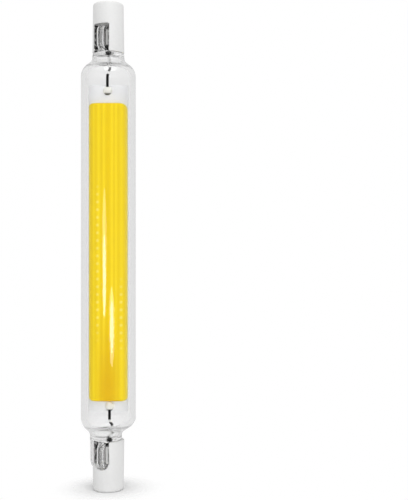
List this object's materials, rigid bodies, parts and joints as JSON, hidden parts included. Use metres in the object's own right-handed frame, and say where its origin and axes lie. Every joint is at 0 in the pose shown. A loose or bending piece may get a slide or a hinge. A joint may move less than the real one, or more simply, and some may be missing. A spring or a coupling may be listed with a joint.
{
  "type": "linear led bulb",
  "caption": "Double-ended linear LED bulb: clear glass tube with a yellow phosphor strip on a ceramic board, slotted ceramic end caps and recessed end contacts.",
  "frame": {"origin": "centre of the lower cap's end face, which the bulb stands on", "axes": "+Z along the tube from the lower cap to the upper cap, -Y out of the board's lit face, +X to the right of a viewer who faces the lit side"},
  "size_m": [0.0132, 0.0132, 0.118],
  "materials": {
    "clear_glass": "clear gloss",
    "cap_ceramic": "fine matt",
    "board_ceramic": "smooth matt",
    "phosphor_silicone": "glossy",
    "die_crystal": "gloss",
    "lead_wire": "dark oxide",
    "contact_metal": "satin",
    "solder": "satin",
    "cement": "rough",
    "moulding": "matt",
    "tinned_leads": "satin",
    "resistor_ceramic": "glazed"
  },
  "bodies": {
    "root": {"glass_envelope": "clear_glass", "upper_end_cap": "cap_ceramic", "lower_end_cap": "cap_ceramic", "upper_contact": "contact_metal", "lower_contact": "contact_metal", "upper_cement": "cement", "lower_cement": "cement", "upper_lead_wire": "lead_wire", "lower_lead_wire": "lead_wire", "upper_solder_joint": "solder", "lower_solder_joint": "solder", "circuit_board": "board_ceramic", "phosphor_strip": "phosphor_silicone", "led_dies": "die_crystal", "rectifier_body": "moulding", "rectifier_leads": "tinned_leads", "driver_bodies": "moulding", "driver_leads": "tinned_leads", "resistor_bodies": "resistor_ceramic", "resistor_terminals": "tinned_leads"}
  },
  "joints": []
}
